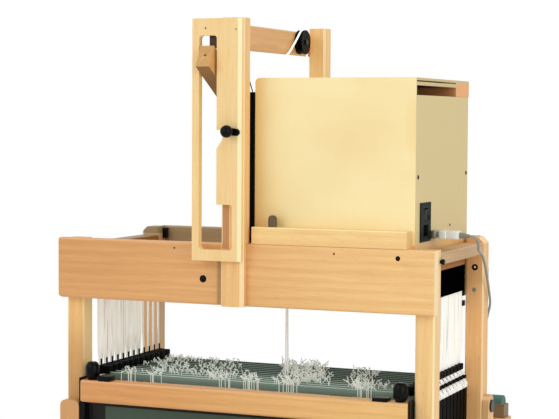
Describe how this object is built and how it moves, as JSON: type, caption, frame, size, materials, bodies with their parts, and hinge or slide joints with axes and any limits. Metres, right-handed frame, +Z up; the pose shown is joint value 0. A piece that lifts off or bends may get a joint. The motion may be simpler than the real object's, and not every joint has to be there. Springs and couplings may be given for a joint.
{
  "type": "dobby loom",
  "caption": "Wooden floor loom with a dobby head, boxed selector, slotted lever plate, lifting shafts, swinging beater, cloth and warp rollers and a treadle.",
  "frame": {"origin": "middle of the footprint, on the floor", "axes": "+Z up, -Y towards the weaver, +X to the weaver's right"},
  "size_m": [1.0078, 1.015, 1.754],
  "materials": {
    "beech": "varnished beech",
    "beech_pale": "varnished beech, pale",
    "beech_shade": "varnished beech",
    "plywood": "varnished birch plywood",
    "black_plastic": "moulded, satin",
    "light_metal": "mill finish",
    "steel": "painted dark",
    "plug_shell": "moulded, satin",
    "cable_grey": "soft vinyl",
    "cord_white": "braided cord",
    "teal_cloth": "beech with a teal cover on top"
  },
  "bodies": {
    "frame": {"castle_front_beam": "beech", "castle_rear_beam": "beech_shade", "castle_rail_left": "beech", "castle_rail_right": "beech", "front_post_left": "beech", "front_post_right": "beech", "rear_post_left": "beech", "rear_post_right": "beech", "cord_housing_left": "black_plastic", "cord_housing_right": "black_plastic", "foot_left": "beech", "foot_right": "beech", "front_arm_left": "beech", "front_arm_right": "beech", "rear_arm_left": "beech", "rear_arm_right": "beech", "stretchers": "beech", "breast_beam": "beech", "back_beam": "teal_cloth", "dobby_post": "beech_pale", "slot_plate": "beech_pale", "top_bar": "beech", "dobby_rear_post": "beech", "return_spring": "black_plastic", "ledge": "beech_pale", "box_shell": "plywood", "box_lid": "plywood", "power_module": "black_plastic", "connector": "plug_shell", "data_cable": "cable_grey", "cable_coil": "cable_grey", "cable_plug": "plug_shell"},
    "cloth_roller": {"cloth_beam": "beech"},
    "warp_roller": {"warp_beam": "beech"},
    "cloth_catch": {"cloth_pawl": "steel"},
    "warp_catch": {"warp_pawl": "steel"},
    "beater": {"beater_frame": "steel", "beater_rail": "beech", "reed": "steel"},
    "knob_left": {"beater_knob_left": "black_plastic"},
    "knob_right": {"beater_knob_right": "black_plastic"},
    "cord_pulley": {"pulley": "black_plastic"},
    "lever": {"dobby_lever": "beech"},
    "plate_latch": {"latch": "black_plastic"},
    "lifting_bar": {"knife": "light_metal"},
    "foot_treadle": {"treadle": "beech"},
    "pull_cord": {"treadle_cord": "cord_white"},
    "switch": {"rocker_switch": "black_plastic"},
    "heald_shaft_01": {"shaft_01": "light_metal"},
    "heald_shaft_02": {"shaft_02": "light_metal"},
    "heald_shaft_03": {"shaft_03": "light_metal"},
    "heald_shaft_04": {"shaft_04": "light_metal"},
    "heald_shaft_05": {"shaft_05": "light_metal"},
    "heald_shaft_06": {"shaft_06": "light_metal"},
    "heald_shaft_07": {"shaft_07": "light_metal"},
    "heald_shaft_08": {"shaft_08": "light_metal"},
    "heald_shaft_09": {"shaft_09": "light_metal"},
    "heald_shaft_10": {"shaft_10": "light_metal"},
    "heald_shaft_11": {"shaft_11": "light_metal"},
    "heald_shaft_12": {"shaft_12": "light_metal"}
  },
  "joints": [
    {"name": "lever_swing", "type": "hinge", "parent": "frame", "child": "lever", "pos_m": [0, 0.287, 1.355], "axis": [1, 0, 0], "range_deg": [0, 38], "stiffness_Nm_per_rad": 6, "springref_deg": -54.43},
    {"name": "lifting_bar_slide", "type": "slide", "parent": "frame", "child": "lifting_bar", "axis": [0, 0, 1], "range_m": [0, 0.062]},
    {"name": "pulley_turn", "type": "hinge", "parent": "frame", "child": "cord_pulley", "pos_m": [-0.007, 0.2, 1.7175], "axis": [1, 0, 0], "range_deg": [0, 153]},
    {"name": "treadle_swing", "type": "hinge", "parent": "frame", "child": "foot_treadle", "pos_m": [0.018, 0.23, 0.07], "axis": [1, 0, 0], "range_deg": [0, 19.1]},
    {"name": "pull_cord_slide", "type": "slide", "parent": "frame", "child": "pull_cord", "axis": [0, 0, 1], "range_m": [-0.062, 0]},
    {"name": "latch_turn", "type": "hinge", "parent": "frame", "child": "plate_latch", "pos_m": [0.013, -0.24, 1.5], "axis": [0, 1, 0], "range_deg": [-90, 90]},
    {"name": "switch_rock", "type": "hinge", "parent": "frame", "child": "switch", "pos_m": [0.401, -0.085, 1.321], "axis": [0, 1, 0], "range_deg": [-14, 0]},
    {"name": "beater_swing", "type": "hinge", "parent": "frame", "child": "beater", "pos_m": [0, -0.21, 0.16], "axis": [1, 0, 0], "range_deg": [0, 18]},
    {"name": "knob_left_turn", "type": "hinge", "parent": "beater", "child": "knob_left", "pos_m": [-0.38, -0.18, 0.917], "axis": [0, 0, 1], "continuous": true},
    {"name": "knob_right_turn", "type": "hinge", "parent": "beater", "child": "knob_right", "pos_m": [0.38, -0.18, 0.917], "axis": [0, 0, 1], "continuous": true},
    {"name": "cloth_roller_turn", "type": "hinge", "parent": "frame", "child": "cloth_roller", "pos_m": [0, -0.4675, 0.56], "axis": [1, 0, 0], "continuous": true},
    {"name": "warp_roller_turn", "type": "hinge", "parent": "frame", "child": "warp_roller", "pos_m": [0, 0.4675, 0.48], "axis": [1, 0, 0], "continuous": true},
    {"name": "cloth_catch_swing", "type": "hinge", "parent": "frame", "child": "cloth_catch", "pos_m": [0.4605, -0.4835, 0.63], "axis": [1, 0, 0], "range_deg": [0, 40]},
    {"name": "warp_catch_swing", "type": "hinge", "parent": "frame", "child": "warp_catch", "pos_m": [-0.4755, 0.4515, 0.55], "axis": [1, 0, 0], "range_deg": [0, 40]},
    {"name": "shaft_01_lift", "type": "slide", "parent": "frame", "child": "heald_shaft_01", "axis": [0, 0, 1], "range_m": [0, 0.08]},
    {"name": "shaft_02_lift", "type": "slide", "parent": "frame", "child": "heald_shaft_02", "axis": [0, 0, 1], "range_m": [0, 0.08]},
    {"name": "shaft_03_lift", "type": "slide", "parent": "frame", "child": "heald_shaft_03", "axis": [0, 0, 1], "range_m": [0, 0.08]},
    {"name": "shaft_04_lift", "type": "slide", "parent": "frame", "child": "heald_shaft_04", "axis": [0, 0, 1], "range_m": [0, 0.08]},
    {"name": "shaft_05_lift", "type": "slide", "parent": "frame", "child": "heald_shaft_05", "axis": [0, 0, 1], "range_m": [0, 0.08]},
    {"name": "shaft_06_lift", "type": "slide", "parent": "frame", "child": "heald_shaft_06", "axis": [0, 0, 1], "range_m": [0, 0.08]},
    {"name": "shaft_07_lift", "type": "slide", "parent": "frame", "child": "heald_shaft_07", "axis": [0, 0, 1], "range_m": [0, 0.08]},
    {"name": "shaft_08_lift", "type": "slide", "parent": "frame", "child": "heald_shaft_08", "axis": [0, 0, 1], "range_m": [0, 0.08]},
    {"name": "shaft_09_lift", "type": "slide", "parent": "frame", "child": "heald_shaft_09", "axis": [0, 0, 1], "range_m": [0, 0.08]},
    {"name": "shaft_10_lift", "type": "slide", "parent": "frame", "child": "heald_shaft_10", "axis": [0, 0, 1], "range_m": [0, 0.08]},
    {"name": "shaft_11_lift", "type": "slide", "parent": "frame", "child": "heald_shaft_11", "axis": [0, 0, 1], "range_m": [0, 0.08]},
    {"name": "shaft_12_lift", "type": "slide", "parent": "frame", "child": "heald_shaft_12", "axis": [0, 0, 1], "range_m": [0, 0.08]}
  ],
  "couplings": [
    {"joint": "lifting_bar_slide", "follows": "lever_swing", "m_per_rad": 0.092},
    {"joint": "pulley_turn", "follows": "lever_swing", "ratio": 4},
    {"joint": "treadle_swing", "follows": "lever_swing", "ratio": 0.5},
    {"joint": "pull_cord_slide", "follows": "lever_swing", "m_per_rad": -0.092}
  ]
}
